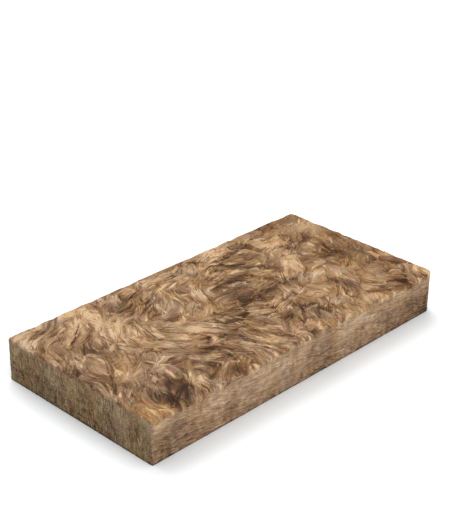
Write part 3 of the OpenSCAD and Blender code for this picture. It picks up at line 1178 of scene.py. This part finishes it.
def rope_strands(stops, rng):
    """Routes, widths and lightness of the strands that make up the ropes, side by side."""
    routes, widths, tones = [], [], []
    for wide, lighter, corners in ROPES:
        spine = smooth_route(np.array(corners) * MM, stops)
        sideways = turned(np.gradient(spine, axis=0), math.pi / 2)
        sideways /= np.linalg.norm(sideways, axis=1, keepdims=True)
        count = max(2, round(wide / STRAND_WIDTH))
        for place in np.linspace(-0.5, 0.5, count):
            swell = 0.6 + 0.4 * np.sin(np.linspace(0, 3, stops) + rng.uniform(-1, 1))
            aside = (place * wide + rng.normal(0, 0.8)) * MM * swell
            routes.append(spine + sideways * aside[:, None])
            widths.append(wide / count * rng.uniform(0.9, 1.6) * MM)
            tones.append(0.55 * lighter * rng.uniform(0.5, 1.3))
    return np.array(routes), np.array(widths), np.array(tones)


class WOOL_OT_face(bpy.types.Operator):
    """Add the combed and tufted locks of the upper face"""

    bl_idname = "wool.face"
    bl_label = "Upper face"

    # Name, count, stations, sides, lengths, widths, heights, lifts (in millimetres), curl, tint.
    kinds = (
        ("long_locks", 130, 26, 6, (60, 180), (6, 15), (1.4, 2.6), (-1.6, 0.4), 0.4, 0.10),
        ("medium_locks", 220, 16, 6, (35, 110), (4, 10), (1.2, 2.4), (-1.4, 0.6), 0.4, 0.12),
        ("short_tufts", 80, 8, 6, (18, 45), (5, 10), (1.2, 2.6), (-1.4, 0.4), 0.8, 0.12),
        ("fine_strands", 430, 16, 5, (60, 190), (2, 4.5), (0.8, 1.6), (0.2, 1.2), 0.4, 0.16),
    )
    tuft_count = 220
    tuft_stations = 10
    rope_stations = 20
    # Sides of a tuft and of a rope's strand.
    sides = 6
    # Share of the tufts that hang over the ends: the others hang over the long sides.
    tufts_on_ends = 0.35
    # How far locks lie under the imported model's upper face.
    lock_drop = 1.6 * MM

    def execute(self, context):
        settings = context.scene.wool_lay
        material = face_wool(context.scene.wool_colour)
        face = upper_face()

        def clear(routes):
            """How far a route may still go: over the long edges, and less over the ends."""
            past_end, past_side = np.moveaxis(np.abs(routes) > HALF, -1, 0)
            hang = settings.spill * (0.55 + 0.45 * smooth_noise(routes, 45 * MM, 71))
            share = np.where(past_side, 1.0, np.where(past_end, 0.5, 0.0))
            return inside_by(routes) + share * np.maximum(hang, 0)

        def drape(flat, level):
            """Points on the face or, past its edge, down the saw cuts."""
            kept = kept_inside(flat)
            over = np.linalg.norm(flat - kept, axis=-1)
            out = (flat - kept) / np.maximum(over, TINY)[..., None]
            fold = np.clip(over / (5 * MM), 0, 1)
            level = level + face.folds(kept)[0] * settings.relief * (1 - fold)
            z = face.height(kept) - self.lock_drop + level * (1 - fold) - over
            aside = np.clip(0.8 * level - 0.6 * MM, -1.8 * MM, 0.9 * MM) * fold
            return np.concatenate([kept + out * aside[..., None], z[..., None]], -1)

        def tone_of(offset, calmed=1.0):
            """Lightness of a place, with an offset for each lock that calm wool weakens."""
            return lambda flat: (LOCK_TONE + face.tone(kept_inside(flat))
                                 + offset[:, None] * face.liveliness(flat) ** calmed)

        def outward(points):
            """Straight over the nearest edge, more or less."""
            to_end = (HALF - np.abs(points)).argmin(-1)[..., None] == 0
            straight = np.where(to_end, (1.0, 0.0), (0.0, 1.0))
            return turned(straight, 0.6 * smooth_noise(points, 40 * MM, 72))

        lay = functools.partial(lay_locks, drape=drape, clear=clear, warm=face_warmth)
        for order, kind in enumerate(self.kinds):
            name, count, stations, sides, long, wide, high, lifts, curl, tint = kind
            rng = np.random.default_rng(settings.seed + order)
            start = rng.uniform(2 * MM - HALF, HALF - 2 * MM, (count * 3, 2))
            bare = np.maximum(0.85 * face.puffed(start), 2.2 * (1 - face.liveliness(start)))
            thinned = rng.uniform(0, 1, len(start)) < bare
            start = start[(inside_by(start) > 1 * MM) & ~thinned][:count]
            piece, one = row_of_locks(name, count, stations, sides)
            routes = combed_routes(start, rng.uniform(*long, count) * MM, stations,
                                   rng.normal(0, curl, count), rng, face.lay,
                                   rng.normal(0, settings.tangle, count))
            lay(piece, one, routes, rng.uniform(*wide, count) * MM,
                rng.uniform(*high, count) * MM, rng.uniform(*lifts, count) * MM,
                tone=tone_of(rng.normal(0, tint, count)), rng=rng)
            finish_piece(piece, material)

        rng, count = np.random.default_rng(settings.seed + 20), self.tuft_count
        start = rng.uniform(2 * MM - HALF, HALF - 2 * MM, (count, 2))
        rim = np.sign(start) * (HALF - rng.uniform(-4, 14, (count, 1)) * MM)
        on_end = rng.uniform(0, 1, count) < self.tufts_on_ends
        start = np.where(np.stack([on_end, ~on_end], -1), rim, start)
        piece, one = row_of_locks("edge_tufts", count, self.tuft_stations, self.sides)
        routes = combed_routes(start, rng.uniform(20, 48, count) * MM, self.tuft_stations,
                               rng.normal(0, 0.8, count), rng, outward,
                               rng.normal(0, 0.3, count))
        lay(piece, one, routes, rng.uniform(6, 15, count) * MM,
            rng.uniform(1.2, 2.2, count) * MM, rng.uniform(-1.4, 0.0, count) * MM,
            tone=tone_of(rng.normal(0, 0.13, count)), rng=rng)
        finish_piece(piece, material)

        rng = np.random.default_rng(settings.seed + len(self.kinds))
        routes, width, tone = rope_strands(self.rope_stations + 1, rng)
        count = len(routes)
        piece, one = row_of_locks("rope_strands", count, self.rope_stations, self.sides)
        lay(piece, one, routes, width, 0.15 * width + 1.0 * MM,
            rng.uniform(0.4, 1.4, count) * MM, tone=tone_of(tone, calmed=0.0), rng=rng)
        finish_piece(piece, material)
        return {"FINISHED"}


def cut_tone(face, round_by, z):
    """Lightness of the saw cuts: like the upper face at their top edge, darker lower down, partly
    by the wool's own tone and partly by painted shade, with painted shade along the foot.
    """
    point, out = read_outline(round_by)
    on_side = np.abs(out[..., 1]) > SIDEWAYS
    place = np.stack([round_by, z], -1)
    low = z / THICKNESS - 0.5
    mottle_and_foot_shade = noises(place, ((0.045, 70 * MM, 51), (0.055, 25 * MM, 52), (0.034, 10 * MM, 53)))
    mottle_and_foot_shade += 0.18 * patchwork(np.concatenate([point, z[..., None]], -1), CUT_PATCHES)
    # Painted shade along the foot of the saw cuts, where the board meets the floor.
    mottle_and_foot_shade -= 0.12 * np.exp(-(z / (4 * MM)) ** 2)
    layers = 0.050 * smooth_noise(place * np.array([0.12, 1.0]), 5 * MM, 54)
    # Darker towards the foot by low: partly the wool's own tone, partly painted shade.
    side = SIDE_TONE + 0.28 * low + mottle_and_foot_shade
    end = END_TONE + 0.24 * low + mottle_and_foot_shade + layers
    top = RIM_TONE + 0.9 * face.tone(point)
    depth = np.clip(face.height(point) - z, 0, None)
    near_top = np.exp(-(depth / np.where(on_side, 12 * MM, 8 * MM)) ** 2)
    return np.where(on_side, side, end) * (1 - near_top) + top * near_top


class WOOL_OT_cuts(bpy.types.Operator):
    """Add the wool of the four saw cuts: drawn out along the sides, upright on the ends"""

    bl_idname = "wool.cuts"
    bl_label = "Saw cuts"

    # Name, whether it goes on the long sides, count, stations, lengths and widths (in
    # millimetres), direction of the fibres, how far they stray from it, tint and wool.
    kinds = (
        ("side_strands", True, 900, 8, (40, 140), (2, 7), (1.0, -SIDE_LEAN), 0.09, 0.085,
         side_wool),
        ("end_strands", False, 760, 9, (14, 70), (2, 5), (0.0, 1.0), 0.08, 0.12, end_wool),
    )
    sides = 5
    # How far the strands' bed lies behind the saw cuts, and how far they may rise from it.
    inset = 0.9 * MM
    most_level = 1.2 * MM

    def execute(self, context):
        settings, face = context.scene.wool_lay, upper_face()

        def top_edge(round_by):
            """Height of the top edge of the saw cuts."""
            return face.height(read_outline(round_by)[0])

        def drape(flat, level):
            """Points on the saw cuts, from places round and up them."""
            point, out = read_outline(flat[..., 0])
            point = point + out * (np.minimum(level, self.most_level) - self.inset)[..., None]
            z = np.clip(flat[..., 1], 0.3 * MM, top_edge(flat[..., 0]) - 0.5 * MM)
            return np.concatenate([point, z[..., None]], -1)

        def clear(routes):
            """How far a route is from the foot and the top edge of the saw cuts."""
            return np.minimum(routes[..., 1] - 1 * MM, top_edge(routes[..., 0]) - routes[..., 1])

        for order, kind in enumerate(self.kinds):
            name, lengthwise, count, stations, long, wide, grain, stray, tint, wool_of = kind
            rng = np.random.default_rng(settings.seed + 40 + order)
            start = rng.uniform((0, 2 * MM), (PERIMETER, THICKNESS - 6 * MM), (count * 6, 2))
            normal = read_outline(start[:, 0])[1]
            on_side = np.abs(normal[:, 1]) > np.abs(normal[:, 0])
            fits = start[:, 1] < top_edge(start[:, 0]) - 2 * MM
            start = start[(on_side == lengthwise) & fits][:count]
            piece, one = row_of_locks(name, count, stations, self.sides)
            offset = rng.normal(0, tint, (count, 1))

            def lay(points):
                """Direction of the fibres."""
                tilt = stray * smooth_noise(points, 60 * MM, 31 + order)
                return turned(np.broadcast_to(grain, points.shape), tilt)

            def tone(flat):
                """Lightness of a place, with an offset for each strand."""
                return cut_tone(face, flat[..., 0], flat[..., 1]) + offset

            routes = combed_routes(start, rng.uniform(*long, count) * MM, stations,
                                   rng.normal(0, 0.15, count), rng, lay,
                                   rng.normal(0, stray, count))
            lay_locks(piece, one, routes, rng.uniform(*wide, count) * MM,
                      rng.uniform(0.3, 0.8, count) * MM, rng.uniform(-0.3, 0.5, count) * MM,
                      drape, tone, rng, clear, sink=1.0 * MM)
            finish_piece(piece, wool_of(context.scene.wool_colour))
        return {"FINISHED"}


class WOOL_OT_studio(bpy.types.Operator):
    """Add the floor, the soft light and the camera"""

    bl_idname = "wool.studio"
    bl_label = "Studio"

    floor_radius = 14
    # How far the floor lies under the board.
    floor_gap = 0.5 * MM
    # Colours of the floor: to the camera, in the painted shadow close to the board and in the open,
    # and to the board.
    shaded_floor = (0.78, 0.82, 0.84, 1)
    open_floor = (1.27, 1.31, 1.33, 1)
    unseen_floor = (0.15, 0.15, 0.15, 1)
    shadow_reach = 100 * MM
    # Where the suns stand from the board, and how wide they look.
    key_towards = (-0.12, -0.95, 0.28)
    back_towards = (0.25, 0.75, 0.80)
    sun_width = math.radians(50)
    # Where the camera stands, in metres, and the width of its film, in millimetres.
    camera_place = (-2.553, -2.446, 2.088)
    film_width = 36

    def execute(self, context):
        studio = context.scene.wool_studio
        self.add_floor()
        self.add_light(context, studio)
        self.add_camera(context, studio)
        context.scene.view_settings.view_transform = "Standard"
        return {"FINISHED"}

    def add_floor(self):
        """A wide pale floor. Seen by the camera it is white, keeps the board's shadow, and has a
        painted shadow close to the board.
        """
        bm = bmesh.new()
        bmesh.ops.create_circle(bm, cap_ends=True, segments=96, radius=self.floor_radius)
        bmesh.ops.translate(bm, verts=bm.verts, vec=(0, 0, LOW.z - self.floor_gap))
        floor = add_object("floor", mesh_from("floor", bm))
        material, shader = new_material("white_floor")
        seen = node(material, "ShaderNodeLightPath").outputs["Is Camera Ray"]
        # Painted shadow: to the camera, the floor darkens where the board shuts off the sky close
        # by.
        open_sky = node(material, "ShaderNodeAmbientOcclusion", {"Distance": self.shadow_reach})
        shade = node(material, "ShaderNodeMix", {
            "Factor": open_sky.outputs["AO"], "A": self.shaded_floor, "B": self.open_floor},
            data_type="RGBA")
        paint = node(material, "ShaderNodeMix", {
            "Factor": seen, "A": self.unseen_floor, "B": shade.outputs["Result"]},
            data_type="RGBA")
        material.node_tree.links.new(paint.outputs["Result"], shader.inputs["Base Color"])
        shader.inputs["Roughness"].default_value = 1.0
        shader.inputs["Specular IOR Level"].default_value = 0.0
        floor.data.materials.append(material)

    def add_light(self, context, studio):
        """Even light from the sky, and two soft suns: to the right of the camera, and behind."""
        world = bpy.data.worlds.new("studio_sky")
        context.scene.world = world
        world.use_nodes = True
        tree = world.node_tree
        tree.nodes.clear()
        path = tree.nodes.new("ShaderNodeLightPath")
        strength = tree.nodes.new("ShaderNodeMapRange")
        strength.inputs["To Min"].default_value = studio.sky_strength
        strength.inputs["To Max"].default_value = 1.0
        sky = tree.nodes.new("ShaderNodeBackground")
        sky.inputs["Color"].default_value = (1, 1, 1, 1)
        output = tree.nodes.new("ShaderNodeOutputWorld")
        tree.links.new(path.outputs["Is Camera Ray"], strength.inputs["Value"])
        tree.links.new(strength.outputs["Result"], sky.inputs["Strength"])
        tree.links.new(sky.outputs[0], output.inputs["Surface"])
        suns = (("key_sun", studio.key_strength, self.key_towards),
                ("back_sun", studio.back_strength, self.back_towards))
        for name, energy, towards in suns:
            lamp = bpy.data.lights.new(name, "SUN")
            lamp.energy = energy
            lamp.angle = self.sun_width
            sun = add_object(name, lamp)
            sun.rotation_euler = Vector(towards).to_track_quat("Z", "Y").to_euler()

    def add_camera(self, context, studio):
        """The camera, looking down on the board from beyond its near corner."""
        lens = bpy.data.cameras.new("camera")
        lens.lens = studio.focal_length
        lens.sensor_width = self.film_width
        camera = add_object("camera", lens)
        azimuth, elevation = studio.azimuth, studio.elevation
        back = Vector((math.sin(azimuth) * math.cos(elevation),
                       -math.cos(azimuth) * math.cos(elevation), math.sin(elevation)))
        turn = (-back).to_track_quat("-Z", "Y").to_matrix().to_4x4()
        camera.matrix_world = (Matrix.Translation(self.camera_place) @ turn
                               @ Matrix.Rotation(studio.roll, 4, "Z"))
        context.scene.camera = camera


class WOOL_PT_board(bpy.types.Panel):
    """The board's pieces, in the order in which they are made"""

    bl_label = "Insulation board"
    bl_idname = "WOOL_PT_board"
    bl_space_type = "VIEW_3D"
    bl_region_type = "UI"
    bl_category = "Wool board"

    def draw(self, context):
        for group in (context.scene.wool_lay, context.scene.wool_colour, context.scene.wool_studio):
            box = self.layout.box()
            for key in group.__annotations__:
                box.prop(group, key)
        for step in STEPS:
            self.layout.operator(step.bl_idname)


STEPS = (WOOL_OT_studio, WOOL_OT_skin, WOOL_OT_fleece, WOOL_OT_face, WOOL_OT_cuts)
GROUPS = {"wool_lay": WOOL_PG_lay, "wool_colour": WOOL_PG_colour, "wool_studio": WOOL_PG_studio}


def register():
    """Adds the settings, the operators and the panel."""
    for group in GROUPS.values():
        bpy.utils.register_class(group)
    for step in (*STEPS, WOOL_PT_board):
        bpy.utils.register_class(step)
    for key, group in GROUPS.items():
        setattr(bpy.types.Scene, key, bpy.props.PointerProperty(type=group))


def unregister():
    """Takes away what register added."""
    for key in GROUPS:
        delattr(bpy.types.Scene, key)
    for step in (WOOL_PT_board, *reversed(STEPS)):
        bpy.utils.unregister_class(step)
    for group in reversed(GROUPS.values()):
        bpy.utils.unregister_class(group)


def main():
    """Makes the studio and the board."""
    register()
    bpy.ops.wool.studio()
    bpy.ops.wool.skin()
    bpy.ops.wool.fleece()
    bpy.ops.wool.face()
    bpy.ops.wool.cuts()


if __name__ == "__main__":
    main()
